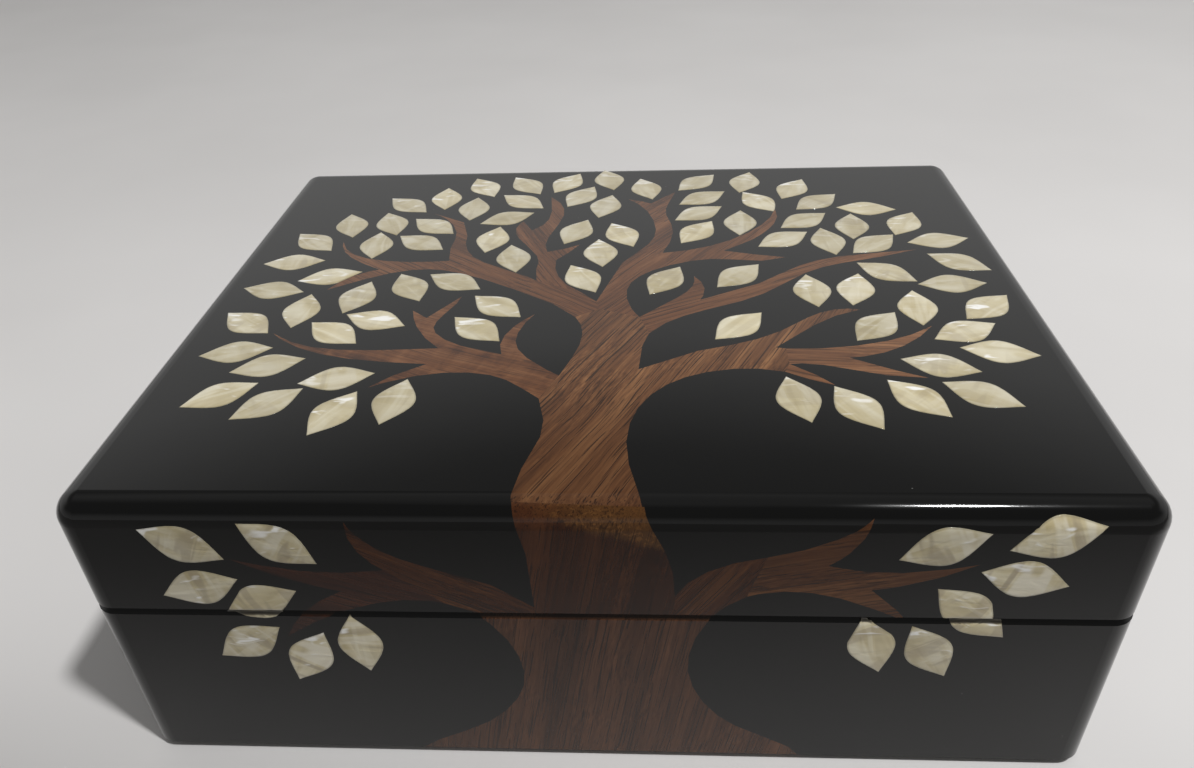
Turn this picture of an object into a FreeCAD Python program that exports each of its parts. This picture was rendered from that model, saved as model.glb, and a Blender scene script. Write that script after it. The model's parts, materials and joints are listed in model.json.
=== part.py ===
"""Lidded wooden box with a tree inlaid in a black ground.

A mitred wooden carcass, sawn apart into base and lid, carries a thin black
ground. Wood and shell pieces of the same thickness as the ground stand on the
carcass, and the ground is poured round them, so everything ends flush.
Millimetres, +Z up, front towards -Y, origin under the middle of the box.
"""
import FreeCAD, Part
import Sketcher
import math
import os
import re

# Driving dimensions: alias, value, meaning

SIZES = [
    ("box_width", 250, "whole box, left to right"),
    ("box_depth", 200, "whole box, front to back"),
    ("box_height", 88, "whole box, felt to top"),
    ("seam_height", 55, "middle of the saw cut between base and lid"),
    ("seam_gap", 0.3, "open height of the closed seam"),
    ("top_roundover", 6.2, "top edge of the ground"),
    ("corner_surplus", 0.3, "how much rounder the upright corners are than the top edge"),
    ("lid_rim_easing", 0.3, "lid's outer edge at the seam"),
    ("base_rim_easing", 1.5, "base's outer edge at the seam"),
    ("foot_easing", 1.2, "bottom outer edge"),
    ("ground_thickness", 2, "black ground and inlay alike"),
    ("wall_thickness", 10, "mitred walls of base and lid"),
    ("floor_thickness", 6, "base floor panel"),
    ("top_panel_thickness", 6, "lid panel"),
    ("rebate", 4, "step in the walls that holds floor and panel"),
    ("felt_thickness", 1, "felt under the base"),
    ("felt_inset", 2, "felt edge back from the box's outline"),
    ("lining_thickness", 1.5, "velvet on card along the walls"),
    ("pad_thickness", 2.5, "velvet pad on the floor and under the panel"),
    ("lining_clearance", 0.3, "room between neighbouring linings"),
    ("lining_setback", 2, "lining edge back from the rim"),
    ("hinge_setback", 4.5, "pin axis in from the back face"),
    ("stop_angle", 100, "lid turn at which the back bevels would meet"),
    ("hinge_length", 32, "each hinge, along its pin"),
    ("hinge_end_distance", 50, "from the box's end to the middle of a hinge"),
    ("hinge_margin", 0.5, "wood left between a hinge leaf and the cavity"),
    ("hinge_leaf_thickness", 1.2, "brass sheet of the leaves"),
    ("knuckle_radius", 2.2, "outside of the rolled knuckles"),
    ("knuckle_gap", 0.2, "running gap between knuckles"),
    ("pin_radius", 1, "hinge pin"),
    ("pin_clearance", 0.05, "pin to knuckle bore, on the radius"),
    ("barrel_clearance", 0.4, "wood round the knuckles"),
    ("nail_radius", 1, "brass nails of the hinges"),
    ("nail_length", 8, "whole nail, flush with its leaf"),
    ("nail_spacing", 19, "between the two nails of a leaf"),
    ("nail_clearance", 0.1, "hole round a nail, on the radius"),
    ("leaf_length", 20.4, "shell leaf on a box of the pattern's size, tip to tip"),
    ("leaf_width", 11.2, "the same leaf, across its belly"),
    ("leaf_shoulder", 2.5, "from a leaf's middle to where its straight runs start"),
    ("leaf_shoulder_drop", 0.5, "how much less its half width is there"),
    ("trunk_joint_angle", 27, "where the trunk pieces meet on the rounded edge, in degrees from its top"),
    ("trunk_joint_slope", 0.035, "fall of that joint, per unit of width"),
]

KNUCKLES = 3
NAIL_SIDES = 6
OVERRUN = 1.0
TOUCHING = 1e-6
CURVE_ACCURACY = 0.17

# Places that several pieces share, as formulas of the sizes

AXIS_Y = "(box_depth/2 - hinge_setback)"
AXIS_Z = "seam_height"
BASE_RIM = "(seam_height - seam_gap/2)"
LID_RIM = "(seam_height + seam_gap/2)"
OUTER_X = "(box_width/2)"
OUTER_Y = "(box_depth/2)"
CORE_X = "(box_width/2 - ground_thickness)"
CORE_Y = "(box_depth/2 - ground_thickness)"
CORE_TOP = "(box_height - ground_thickness)"
CAVITY_X = "(box_width/2 - ground_thickness - wall_thickness)"
CAVITY_Y = "(box_depth/2 - ground_thickness - wall_thickness)"
FLOOR_TOP = "(felt_thickness + floor_thickness)"
CEILING = "(box_height - ground_thickness - top_panel_thickness)"
HINGES = {"left": "(hinge_end_distance - box_width/2)", "right": "(box_width/2 - hinge_end_distance)"}
CORNER = "(top_roundover + corner_surplus)"
LEAF_EDGE = "(box_depth/2 - ground_thickness - wall_thickness + hinge_margin)"

# The inlay pattern is drawn full size for a box of these measures and is
# stretched with the box. Shell leaves are (across, up, turn in degrees).

PATTERN_WIDTH = 250.0
PATTERN_DEPTH = 200.0
PATTERN_HEIGHT = 88.0
PATTERN_SEAM = 55.0

TOP_LEAVES = [
    # left side, from the front
    (-67.5, -64, 68), (-86, -60, 43), (-53, -59, 82), (-100, -56, 33), (-71, -48.5, 14), (-92, -42, 20),
    (-103.5, -35, 12), (-78.5, -25, 144), (-37.2, -23.4, 138), (-106, -19, 144), (-68, -18, 160),
    (-92, -12, 90), (-33, -10.4, 140), (-77, -4, 79), (-105, 1, 172), (-62, 2, 118), (-48.5, 5.3, 150),
    (-89.5, 9.7, 17), (-104.5, 20, 6), (-32, 21, 101), (-80, 32, 95), (-65, 33.5, 147), (-102, 35, 138),
    (-40.8, 35.3, 83), (-63, 46.5, 141), (-92.7, 48, 106), (-78.5, 49, 111), (-38, 52.3, 26),
    (-51.3, 61, 90), (-76, 65, 140), (-34, 66.7, 142), (-63, 70.5, 96), (-50, 80.5, 117),
    (-34, 81.7, 124),
    # crown
    (17, 4.8, 62), (-8.5, 6.6, 116), (-3.8, 24.3, 96), (2.9, 37.7, 113), (28, 39, 57), (-12.8, 40.5, 70),
    (29.2, 54.2, 34), (-3.7, 61.5, 78), (31, 67.5, 34), (-13, 70.5, 64), (10.8, 76.8, 103), (29.5, 82, 47),
    (-19, 83.5, 65), (-3.3, 86, 102),
    # right side, from the front
    (63.6, -62, 116), (49.5, -58.4, 101), (79, -58.2, 127), (95, -56.6, 148), (88, -43.5, 162),
    (105, -37, 168), (98.8, -26.5, 24), (75.4, -23.5, 49), (37.4, -22.7, 46), (89, -13.2, 86),
    (108.5, -13.2, 42), (60.6, -2.4, 93), (73.5, -1.9, 76), (102.4, 0.9, 1), (39.5, 7.4, 47),
    (84.7, 8.8, 141), (108, 15, 145), (84.5, 28.4, 41), (105.4, 30.3, 8), (70.4, 30.8, 96),
    (56, 32.6, 32), (80, 42, 83), (97.5, 43.5, 62), (43, 46, 85), (64.5, 47, 35), (87.2, 56.2, 173),
    (71, 62.6, 40), (50.8, 63.5, 119), (64, 74.5, 62), (47.3, 81.5, 75),
]
LID_FRONT_LEAVES = [
    (-95, 76.9, 153), (-72.4, 77.2, 143), (-94.3, 63, 16), (-80.6, 58.3, 22),
    (76.6, 77.8, 23), (100, 80.4, 20), (95.6, 68.2, 168), (84.7, 58.1, 138),
]
BASE_FRONT_LEAVES = [
    (-80.6, 58.3, 22), (-86.8, 44, 32), (-72.5, 38.7, 61), (-59, 43.7, 95),
    (87, 55.9, 138), (64.7, 45.8, 107), (78.4, 43.7, 120),
]

# Wood outlines are strokes laid end to end: a smooth curve through three or
# more points, a straight joint between two. A stroke ends at a tip, a fork or
# a joint with the next piece.

TOP_WOOD = {
    "lid_trunk": [
        [(-17.5, -106), (-18.3, -95), (-16.5, -84), (-13.7, -73), (-14.4, -63), (-15.8, -58)],
        [(-15.8, -58), (-11.5, -47.6)],
        [(-11.5, -47.6), (-9, -40), (-6.7, -30), (-7.2, -22), (-9.3, -17)],
        [(-9.3, -17), (-2.5, -12.5)],
        [(-2.5, -12.5), (9.4, -17.4)],
        [(9.4, -17.4), (12.1, -26.5)],
        [(12.1, -26.5), (10.3, -33), (9.9, -39), (9.4, -44.7)],
        [(9.4, -44.7), (20, -37.8), (40, -30.8), (50, -24.7), (60, -16.4), (66, -13.8), (72.6, -14.2)],
        [(72.6, -14.2), (65, -17.6), (55, -25.9), (46.5, -34.3)],
        [(46.5, -34.3), (49.2, -34.8)],
        [(49.2, -34.8), (49.2, -42.5)],
        [(49.2, -42.5), (47.6, -46.2)],
        [(47.6, -46.2), (38, -44.5), (29, -45.7), (20, -49.5), (13, -56), (8.8, -64), (6.9, -75),
         (7.8, -85), (10, -94.4), (13, -106)],
        [(13, -106), (-17.5, -106)],
    ],
    "lid_limb_left_low": [
        [(-15.8, -58), (-20, -54), (-27, -48.4), (-36, -45.9), (-45, -46.3), (-61.3, -52.8)],
        [(-61.3, -52.8), (-56.3, -47.5), (-48, -41.7)],
        [(-48, -41.7), (-62, -40.3), (-78, -36.7), (-96.3, -25)],
        [(-96.3, -25), (-78, -33.7), (-62, -34.5), (-46.3, -33.7)],
        [(-46.3, -33.7), (-52.2, -26.7), (-58, -12.5)],
        [(-58, -12.5), (-53, -17)],
        [(-53, -17), (-44.7, -4.2)],
        [(-44.7, -4.2), (-48.8, -16.7), (-49.7, -23.3), (-46.3, -28.3), (-38, -33.5), (-28.2, -37)],
        [(-28.2, -37), (-29, -29), (-25.5, -20.5), (-21.2, -15.3)],
        [(-21.2, -15.3), (-24.4, -23), (-24.7, -32.4), (-20, -40), (-11.5, -47.6)],
        [(-11.5, -47.6), (-15.8, -58)],
    ],
    "lid_limb_left_high": [
        [(-9.3, -17), (-15.6, -10), (-25, -2.9), (-45, 9.7), (-58, 14), (-68, 12.5), (-78, 7.5), (-88, 0.8)],
        [(-88, 0.8), (-79.7, 11.7), (-74.7, 14.2)],
        [(-74.7, 14.2), (-83, 20), (-88, 25), (-92.2, 35)],
        [(-92.2, 35), (-83, 23.3), (-74.7, 20.3), (-61.3, 19.2), (-53, 19.7)],
        [(-53, 19.7), (-54.2, 26.7), (-53.8, 38.3), (-58, 50), (-65.5, 57.5)],
        [(-65.5, 57.5), (-56.3, 53.3), (-50.5, 43.3), (-49.7, 33.3), (-45.5, 22.5), (-38, 16), (-22.9, 5.4)],
        [(-22.9, 5.4), (-8.8, -2)],
        [(-8.8, -2), (-3.6, -8)],
        [(-3.6, -8), (-2.5, -12.5)],
        [(-2.5, -12.5), (-9.3, -17)],
    ],
    "lid_limb_crown_left": [
        [(-22.9, 5.4), (-23.8, 12.4), (-23.5, 18.2), (-31, 34), (-33.8, 42), (-32, 49.5)],
        [(-32, 49.5), (-28.2, 42)],
        [(-28.2, 42), (-23.6, 49), (-22.7, 56), (-24, 70.5)],
        [(-24, 70.5), (-19.7, 63.8), (-18.1, 56), (-22.2, 35), (-21.4, 25.3)],
        [(-21.4, 25.3), (-16, 27.4), (-11, 30.5)],
        [(-11, 30.5), (-15, 23.5), (-17.9, 19.5)],
        [(-17.9, 19.5), (-17.2, 11), (-14.5, 4.5), (-8.8, -2)],
        [(-8.8, -2), (-22.9, 5.4)],
    ],
    "lid_limb_crown_right": [
        [(-2.5, -12.5), (-3.6, -8)],
        [(-3.6, -8), (-2, 0.6), (0.2, 10.5), (10.3, 27.5), (13.8, 36), (13.6, 48), (10.5, 58.5), (4.4, 67.3)],
        [(4.4, 67.3), (9, 65.5), (12.6, 63.2)],
        [(12.6, 63.2), (16.5, 68), (21.5, 73.2)],
        [(21.5, 73.2), (19.1, 64.4), (17.7, 55), (19.8, 44), (19, 32), (16.3, 23.6)],
        [(16.3, 23.6), (25, 25.5), (35, 30), (44, 37), (51, 45.3), (56, 57)],
        [(56, 57), (55.5, 48), (50.9, 38.5), (43, 29.8), (36.2, 24.7)],
        [(36.2, 24.7), (45, 22), (55.5, 19.5)],
        [(55.5, 19.5), (45, 17.3), (33, 19), (22, 16.5), (12, 10.6), (6.3, 3), (5.4, -6), (9.4, -17.4)],
        [(9.4, -17.4), (-2.5, -12.5)],
    ],
    "lid_limb_right_mid": [
        [(9.4, -17.4), (16, -10.3), (23.2, -2.9), (25.9, 7.4)],
        [(25.9, 7.4), (28.7, 0.6), (27.2, -7.6)],
        [(27.2, -7.6), (35, -3.8), (45, 2), (55, 10.6), (65, 17.2), (75, 20.3), (97, 23.8)],
        [(97, 23.8), (75, 16), (65, 12), (55, 4.2), (45, -5), (35, -10.6), (25, -15.3), (12.1, -26.5)],
        [(12.1, -26.5), (9.4, -17.4)],
    ],
    "lid_twig_right_outer": [
        [(49.2, -34.8), (60, -34.8), (71, -33), (81, -29.6), (90.6, -23.5)],
        [(90.6, -23.5), (83, -32), (75, -37.1), (65.2, -39.6)],
        [(65.2, -39.6), (73, -44.2), (83.5, -49.3)],
        [(83.5, -49.3), (75.3, -48.5), (65, -45.3), (57, -42.8), (49.2, -42.5)],
        [(49.2, -42.5), (49.2, -34.8)],
    ],
    "lid_twig_right_low": [
        [(49.2, -42.5), (54, -46.4), (59.7, -52.6)],
        [(59.7, -52.6), (54, -50), (47.6, -46.2)],
        [(47.6, -46.2), (49.2, -42.5)],
    ],
}
LID_FRONT_WOOD = {
    "lid_trunk_front": [
        [(-19, 92), (-18.2, 86.5), (-16.8, 79.4), (-15.2, 73.5), (-14.4, 66), (-14.8, 57.4)],
        [(-14.8, 57.4), (-14.8, 50)],
        [(-14.8, 50), (18.3, 50)],
        [(18.3, 50), (18.1, 61.6)],
        [(18.1, 61.6), (17.7, 68.7), (16.4, 74.3), (14.4, 79.2), (11.4, 86.2), (10, 92)],
        [(10, 92), (-19, 92)],
    ],
    "lid_limb_front_left": [
        [(-14.8, 57.4), (-24.7, 64.9), (-35.5, 69.2), (-45.5, 73.3), (-55.7, 83.9)],
        [(-55.7, 83.9), (-55, 77), (-49, 69.3)],
        [(-49, 69.3), (-36, 58.4)],
        [(-36, 58.4), (-30, 56), (-22, 50)],
        [(-22, 50), (-14.8, 50)],
        [(-14.8, 50), (-14.8, 57.4)],
    ],
    "lid_twig_front_left": [
        [(-49, 69.3), (-60, 68.3), (-70, 69), (-84.7, 72.4)],
        [(-84.7, 72.4), (-73, 66.3), (-60.3, 62.2)],
        [(-60.3, 62.2), (-68.5, 57), (-76.8, 46.2)],
        [(-76.8, 46.2), (-66, 53), (-55, 57.6), (-44.7, 59.5), (-36, 58.4)],
        [(-36, 58.4), (-49, 69.3)],
    ],
    "lid_limb_front_right": [
        [(18.1, 61.6), (22, 67), (29.2, 71.6), (38.6, 74.3)],
        [(38.6, 74.3), (34.6, 61.7)],
        [(34.6, 61.7), (30, 58.5), (24, 50)],
        [(24, 50), (18.3, 50)],
        [(18.3, 50), (18.1, 61.6)],
    ],
    "lid_twig_front_right": [
        [(38.6, 74.3), (47, 76.8), (55, 80.8), (60.7, 85.2)],
        [(60.7, 85.2), (58, 78), (52.1, 71.8)],
        [(52.1, 71.8), (65, 69.8), (75, 70.5), (85, 72.6)],
        [(85, 72.6), (75, 67.6), (62.5, 64.3)],
        [(62.5, 64.3), (67.5, 59.5), (72, 54)],
        [(72, 54), (63, 58.5), (53, 62.4), (44, 63.6), (34.6, 61.7)],
        [(34.6, 61.7), (38.6, 74.3)],
    ],
}
BASE_FRONT_WOOD = {
    "base_trunk": [
        [(-30, 56), (-24.7, 49.9), (-20, 40), (-19.5, 29.5), (-24.3, 19.5), (-33, 11.7), (-42, 7), (-52, -2)],
        [(-52, -2), (54, -2)],
        [(54, -2), (45, 7.8), (33.3, 14.5), (25.2, 24), (21.5, 36), (23.2, 47.5), (28, 56)],
        [(28, 56), (-30, 56)],
    ],
    "base_twig_left": LID_FRONT_WOOD["lid_twig_front_left"],
}

# Document and helpers

doc = FreeCAD.newDocument("inlaid_box")
sheet = doc.addObject("Spreadsheet::Sheet", "Sizes")
for row, (alias, value, meaning) in enumerate(SIZES, start=1):
    sheet.set(f"A{row}", meaning)
    sheet.set(f"B{row}", str(value))
    sheet.setAlias(f"B{row}", alias)
doc.recompute()
ALIASES = {alias for alias, value, meaning in SIZES}
parts = []


def size(alias):
    """Current value of one driving dimension."""
    return float(sheet.get(alias))


def bind(thing, prop, formula):
    """Tie a property to a formula of the sizes."""

    def cell(word):
        return f"Sizes.{word[0]}" if word[0] in ALIASES else word[0]

    thing.setExpression(prop, re.sub(r"[a-z_]\w+", cell, formula))


def keep(thing):
    """Mark an object as a piece of the box."""
    parts.append(thing)
    return thing


def block(label, x, y, z):
    """Block between two formulas on each axis."""
    thing = doc.addObject("Part::Box", label)
    for prop, axis, (low, high) in (("Length", "x", x), ("Width", "y", y), ("Height", "z", z)):
        bind(thing, prop, f"({high}) - ({low})")
        bind(thing, f"Placement.Base.{axis}", low)
    return thing


def rod(label, radius, start_x, length):
    """Cylinder about the hinge axis."""
    thing = doc.addObject("Part::Cylinder", label)
    thing.Placement.Rotation = FreeCAD.Rotation(FreeCAD.Vector(0, 1, 0), 90)
    bind(thing, "Radius", radius)
    bind(thing, "Height", length)
    bind(thing, "Placement.Base.x", start_x)
    bind(thing, "Placement.Base.y", AXIS_Y)
    bind(thing, "Placement.Base.z", AXIS_Z)
    return thing


def fused(label, things):
    """One solid of several overlapping ones."""
    thing = doc.addObject("Part::MultiFuse", label)
    thing.Shapes = things
    return thing


def cut(label, base, tool):
    """Base less tool."""
    thing = doc.addObject("Part::Cut", label)
    thing.Base = base
    thing.Tool = tool
    return thing


def common(label, base, tool):
    """What base and tool share."""
    thing = doc.addObject("Part::Common", label)
    thing.Base = base
    thing.Tool = tool
    return thing


def grouped(label, things):
    """Separate solids in one object."""
    thing = doc.addObject("Part::Compound", label)
    thing.Links = things
    return thing


def rectangle(body, label, half_x, half_y, low):
    """Sketch of a rectangle about the origin, raised to a level."""
    sketch = body.newObject("Sketcher::SketchObject", label)
    plane = next(plane for plane in body.Origin.OriginFeatures if plane.Role == "XY_Plane")
    sketch.AttachmentSupport = [(plane, "")]
    sketch.MapMode = "FlatFace"
    bind(sketch, "AttachmentOffset.Base.z", low)
    corners = [FreeCAD.Vector(x, y, 0) for x, y in ((-1, -1), (1, -1), (1, 1), (-1, 1))]
    sides = zip(corners, corners[1:] + corners[:1])
    sketch.addGeometry([Part.LineSegment(start, end) for start, end in sides], False)
    for side in range(4):
        sketch.addConstraint(Sketcher.Constraint("Coincident", side, 2, (side + 1) % 4, 1))
        sketch.addConstraint(Sketcher.Constraint("Vertical" if side % 2 else "Horizontal", side))
    sketch.addConstraint(Sketcher.Constraint("Symmetric", 0, 1, 2, 1, -1, 1))
    for name, kind, side, half in (("width", "DistanceX", 0, half_x), ("depth", "DistanceY", 1, half_y)):
        index = sketch.addConstraint(Sketcher.Constraint(kind, side, 1, side, 2, 2.0))
        sketch.renameConstraint(index, name)
        bind(sketch, f"Constraints.{name}", f"2*({half})")
    return sketch


def edge_names(shape, wanted):
    """Names of the edges of a shape that pass a test."""
    return [f"Edge{number}" for number, edge in enumerate(shape.Edges, start=1) if wanted(edge)]


def eased_block(label, half_x, half_y, low, high, corners, top=None, foot=None):
    """Block with a (feature, size) on its upright corners and, if asked, along its top and foot edges."""
    body = doc.addObject("PartDesign::Body", label)
    pad = body.newObject("PartDesign::Pad", f"{label}_pad")
    pad.Profile = rectangle(body, f"{label}_plan", half_x, half_y, low)
    bind(pad, "Length", f"({high}) - ({low})")
    doc.recompute()
    bounds = pad.Shape.BoundBox

    def upright(edge):
        return edge.BoundBox.ZLength > bounds.ZLength / 2

    def at_top(edge):
        return edge.BoundBox.ZMin > bounds.ZMax - TOUCHING

    def at_foot(edge):
        return edge.BoundBox.ZMax < bounds.ZMin + TOUCHING

    last = pad
    for easing, wanted in ((corners, upright), (top, at_top), (foot, at_foot)):
        if easing:
            feature, amount = easing
            dressed = body.newObject(f"PartDesign::{feature}", f"{label}_{wanted.__name__}")
            dressed.Base = (last, edge_names(last.Shape, wanted))
            bind(dressed, "Radius" if feature == "Fillet" else "Size", amount)
            doc.recompute()
            last = dressed
    return body


def mitred_wall(label, run, reach, low, high, turn):
    """Wall blank with mitred ends: outer face at reach from the middle, turned about Z."""
    wall = doc.addObject("Part::Wedge", label)
    for prop, formula in (
        ("Xmin", f"-({run})"), ("Xmax", run),
        ("X2min", f"wall_thickness - ({run})"), ("X2max", f"({run}) - wall_thickness"),
        ("Ymin", f"-({reach})"), ("Ymax", f"wall_thickness - ({reach})"),
        ("Zmin", low), ("Z2min", low), ("Zmax", high), ("Z2max", high),
    ):
        bind(wall, prop, formula)
    wall.Placement.Rotation = FreeCAD.Rotation(FreeCAD.Vector(0, 0, 1), turn)
    return wall


def bevel(label, low, far_low, high, far_high):
    """Wedge behind the hinge axis that cuts a back edge to the stop angle."""
    wedge = doc.addObject("Part::Wedge", label)
    for prop, formula in (
        ("Xmin", f"-{OUTER_X} - {OVERRUN}"), ("X2min", f"-{OUTER_X} - {OVERRUN}"),
        ("Xmax", f"{OUTER_X} + {OVERRUN}"), ("X2max", f"{OUTER_X} + {OVERRUN}"),
        ("Ymin", AXIS_Y), ("Ymax", f"{OUTER_Y} + {OVERRUN}"),
        ("Zmin", low), ("Z2min", far_low), ("Zmax", high), ("Z2max", far_high),
    ):
        bind(wedge, prop, formula)
    return wedge


# Forms that the pieces are cut from

BEVEL_DROP = f"(hinge_setback + {OVERRUN})*tan(stop_angle/2)"
FLAT = "(2 - sqrt(2))"
CORE_CORNERS = ("Chamfer", f"{FLAT}*({CORNER} - ground_thickness)")
CORE_EDGE = ("Chamfer", f"{FLAT}*(top_roundover - ground_thickness)")
FORM_CORNERS = ("Fillet", CORNER)
base_form = eased_block("base_form", OUTER_X, OUTER_Y, "felt_thickness", BASE_RIM, FORM_CORNERS,
                        top=("Chamfer", "base_rim_easing"), foot=("Chamfer", "foot_easing"))
base_core = eased_block("base_core", CORE_X, CORE_Y, f"felt_thickness - {OVERRUN}", f"{BASE_RIM} + {OVERRUN}",
                        CORE_CORNERS)
lid_form = eased_block("lid_form", OUTER_X, OUTER_Y, LID_RIM, "box_height", FORM_CORNERS,
                       top=("Fillet", "top_roundover"), foot=("Chamfer", "lid_rim_easing"))
lid_core = eased_block("lid_core", CORE_X, CORE_Y, f"{LID_RIM} - {OVERRUN}", CORE_TOP, CORE_CORNERS,
                       top=CORE_EDGE)
BARREL = "(knuckle_radius + barrel_clearance)"
barrels = [
    block(f"{side}_barrel_room", (f"{middle} - hinge_length/2 - barrel_clearance",
                                  f"{middle} + hinge_length/2 + barrel_clearance"),
          (f"{AXIS_Y} - {BARREL}", f"{AXIS_Y} + {BARREL}"), (f"{AXIS_Z} - {BARREL}", f"{AXIS_Z} + {BARREL}"))
    for side, middle in HINGES.items()
]
ABOVE_SEAM = f"{AXIS_Z} + {OVERRUN}"
BELOW_SEAM = f"{AXIS_Z} - {OVERRUN}"
base_wedge = bevel("base_wedge", AXIS_Z, f"{AXIS_Z} - {BEVEL_DROP}", ABOVE_SEAM, ABOVE_SEAM)
lid_wedge = bevel("lid_wedge", BELOW_SEAM, BELOW_SEAM, AXIS_Z, f"{AXIS_Z} + {BEVEL_DROP}")
base_bevel = fused("base_bevel", barrels + [base_wedge])
lid_bevel = fused("lid_bevel", barrels + [lid_wedge])
base_skin = cut("base_skin", cut("base_shell", base_form, base_core), base_bevel)
lid_skin = cut("lid_skin", cut("lid_shell", lid_form, lid_core), lid_bevel)

# Hinges: two leaves with rolled knuckles on one pin, let into the back rims

PITCH = f"(hinge_length/{KNUCKLES})"


def hinge_leaf(label, middle, plate, own_knuckles, holes):
    """Plate with its own knuckles, cleared for the pin, the nails and the other leaf's knuckles."""
    start = f"{middle} - hinge_length/2"
    bore = rod(f"{label}_bore", "pin_radius + pin_clearance", f"{start} - {OVERRUN}",
               f"hinge_length + 2*{OVERRUN}")
    knuckles = []
    rooms = [bore]
    for number in range(KNUCKLES):
        at = f"{start} + {number}*{PITCH}"
        if number in own_knuckles:
            knuckles.append(rod(f"{label}_knuckle_{number}", "knuckle_radius",
                                f"{at} + knuckle_gap/2", f"{PITCH} - knuckle_gap"))
        else:
            rooms.append(rod(f"{label}_room_{number}", "knuckle_radius + knuckle_gap",
                             f"{at} - knuckle_gap/2", f"{PITCH} + knuckle_gap"))
    stock = fused(f"{label}_stock", [plate] + knuckles)
    return cut(label, stock, fused(f"{label}_cutters", rooms + holes))


def nail(label, x, tip, room="0"):
    """Nail from its tip up, or its hole with some room."""
    thing = doc.addObject("Part::Prism", label)
    thing.Polygon = NAIL_SIDES
    bind(thing, "Circumradius", f"nail_radius + {room}")
    bind(thing, "Height", "nail_length")
    bind(thing, "Placement.Base.x", x)
    bind(thing, "Placement.Base.y", f"({AXIS_Y} - knuckle_radius + {LEAF_EDGE})/2")
    bind(thing, "Placement.Base.z", tip)
    return thing


def hinge_half(half, level, nail_tip, own_knuckles):
    """Leaves and nails of both hinges on one half of the box; gives what they cut from its walls."""
    nails = []
    gains = []
    for side, middle in HINGES.items():
        holes = []
        for end, step in (("first", "- nail_spacing/2"), ("last", "+ nail_spacing/2")):
            name = f"{half}_{side}_{end}_nail"
            nails.append(nail(name, f"{middle} {step}", nail_tip))
            holes.append(nail(f"{name}_hole", f"{middle} {step}", nail_tip, "nail_clearance"))
        label = f"hinge_{side}_{half}_leaf"
        plate = block(f"{label}_plate", (f"{middle} - hinge_length/2", f"{middle} + hinge_length/2"),
                      (LEAF_EDGE, AXIS_Y), level)
        keep(hinge_leaf(label, middle, plate, own_knuckles, holes))
        gains += [plate] + holes
    keep(grouped(f"{half}_hinge_nails", nails))
    return gains


base_gains = hinge_half("base", (f"{BASE_RIM} - hinge_leaf_thickness", BASE_RIM),
                        f"{BASE_RIM} - nail_length", (0, 2))
lid_gains = hinge_half("lid", (LID_RIM, f"{LID_RIM} + hinge_leaf_thickness"), LID_RIM, (1,))
for side, middle in HINGES.items():
    keep(rod(f"hinge_{side}_pin", "pin_radius", f"{middle} - hinge_length/2", "hinge_length"))

# Carcass: mitred walls, floor and lid panel in their rebates, felt underneath

base_floor = keep(block("base_floor", (f"-{CAVITY_X} - rebate", f"{CAVITY_X} + rebate"),
                        (f"-{CAVITY_Y} - rebate", f"{CAVITY_Y} + rebate"), ("felt_thickness", FLOOR_TOP)))
lid_panel = keep(block("lid_panel", (f"-{CAVITY_X} - rebate", f"{CAVITY_X} + rebate"),
                       (f"-{CAVITY_Y} - rebate", f"{CAVITY_Y} + rebate"), (CEILING, CORE_TOP)))
keep(eased_block("base_felt", f"{OUTER_X} - felt_inset", f"{OUTER_Y} - felt_inset", "0", "felt_thickness",
                 ("Chamfer", f"{FLAT}*{CORNER}")))

WALLS = (("front", CORE_X, CORE_Y, 0), ("right", CORE_Y, CORE_X, 90),
         ("back", CORE_X, CORE_Y, 180), ("left", CORE_Y, CORE_X, 270))
HALVES = (
    ("base", base_core, "felt_thickness", BASE_RIM, [base_floor, base_bevel] + base_gains),
    ("lid", lid_core, LID_RIM, CORE_TOP, [lid_panel, lid_bevel] + lid_gains),
)
for half, core, low, high, cutters in HALVES:
    tool = fused(f"{half}_wall_cutters", cutters)
    for place, run, reach, turn in WALLS:
        label = f"{half}_{place}_wall"
        blank = common(f"{label}_blank", mitred_wall(f"{label}_mitre", run, reach, low, high, turn), core)
        keep(cut(label, blank, tool))

# Linings: velvet on card along the walls, a pad on the floor and under the panel

INNER_X = f"({CAVITY_X} - lining_thickness)"
INNER_Y = f"({CAVITY_Y} - lining_thickness)"
LINED = (
    ("base", FLOOR_TOP, f"{BASE_RIM} - lining_setback", (FLOOR_TOP, f"{FLOOR_TOP} + pad_thickness")),
    ("lid", f"{LID_RIM} + lining_setback", CEILING, (f"{CEILING} - pad_thickness", CEILING)),
)
for half, low, high, pad_level in LINED:
    across = (f"-{CAVITY_X}", CAVITY_X)
    along = (f"lining_clearance - {INNER_Y}", f"{INNER_Y} - lining_clearance")
    level = (low, high)
    keep(block(f"{half}_front_lining", across, (f"-{CAVITY_Y}", f"-{INNER_Y}"), level))
    keep(block(f"{half}_back_lining", across, (INNER_Y, CAVITY_Y), level))
    keep(block(f"{half}_left_lining", (f"-{CAVITY_X}", f"-{INNER_X}"), along, level))
    keep(block(f"{half}_right_lining", (INNER_X, CAVITY_X), along, level))
    keep(block(f"{half}_pad", (f"lining_clearance - {INNER_X}", f"{INNER_X} - lining_clearance"),
               along, pad_level))

# Inlay: each outline becomes a prism, the piece is what prism and skin share,
# and the ground is the skin less all prisms


def top_point(x, y):
    """Point of the pattern on the lid's top, low enough for the rounded edge."""
    return FreeCAD.Vector(x * size("box_width") / PATTERN_WIDTH, y * size("box_depth") / PATTERN_DEPTH,
                          size("box_height") - size("top_roundover") - size("ground_thickness"))


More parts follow.
